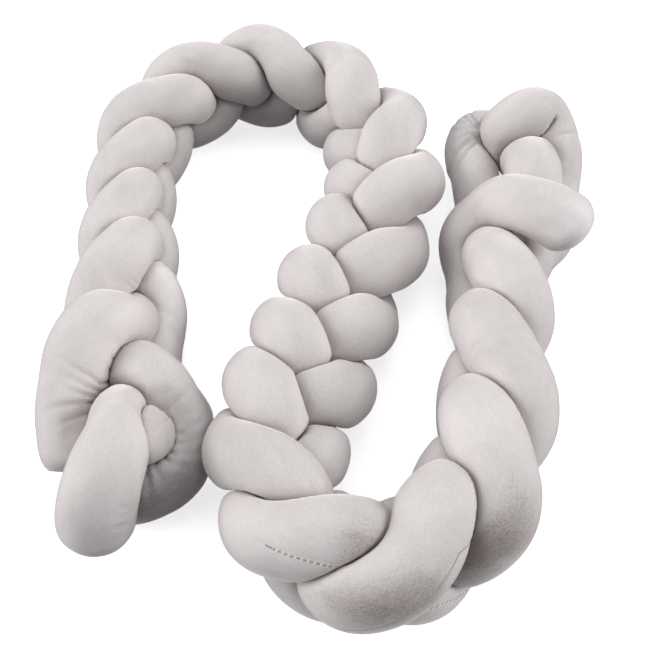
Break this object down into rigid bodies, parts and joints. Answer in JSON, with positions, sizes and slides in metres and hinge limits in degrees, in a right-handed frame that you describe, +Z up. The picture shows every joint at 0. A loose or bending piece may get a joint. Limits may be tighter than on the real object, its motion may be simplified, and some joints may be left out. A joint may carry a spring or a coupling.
{
  "type": "crib bumper",
  "caption": "Plaited crib bumper of stuffed velvet tubes, knotted at both ends and laid in an S on its resting surface.",
  "frame": {"origin": "centre of the laid bumper's footprint, on the surface that it rests on", "axes": "+Z up; +Y away from the bottom bend and towards the top bend, along the legs of the S; +X towards the leg that ends in the upper knot"},
  "size_m": [0.5404, 0.7512, 0.1364],
  "materials": {
    "strand_a_velvet": "short-pile velvet, pale warm grey",
    "strand_b_velvet": "short-pile velvet, pale warm grey",
    "strand_c_velvet": "short-pile velvet, pale warm grey"
  },
  "bodies": {
    "root": {"strand_a": "strand_a_velvet", "strand_b": "strand_b_velvet", "strand_c": "strand_c_velvet"}
  },
  "joints": []
}
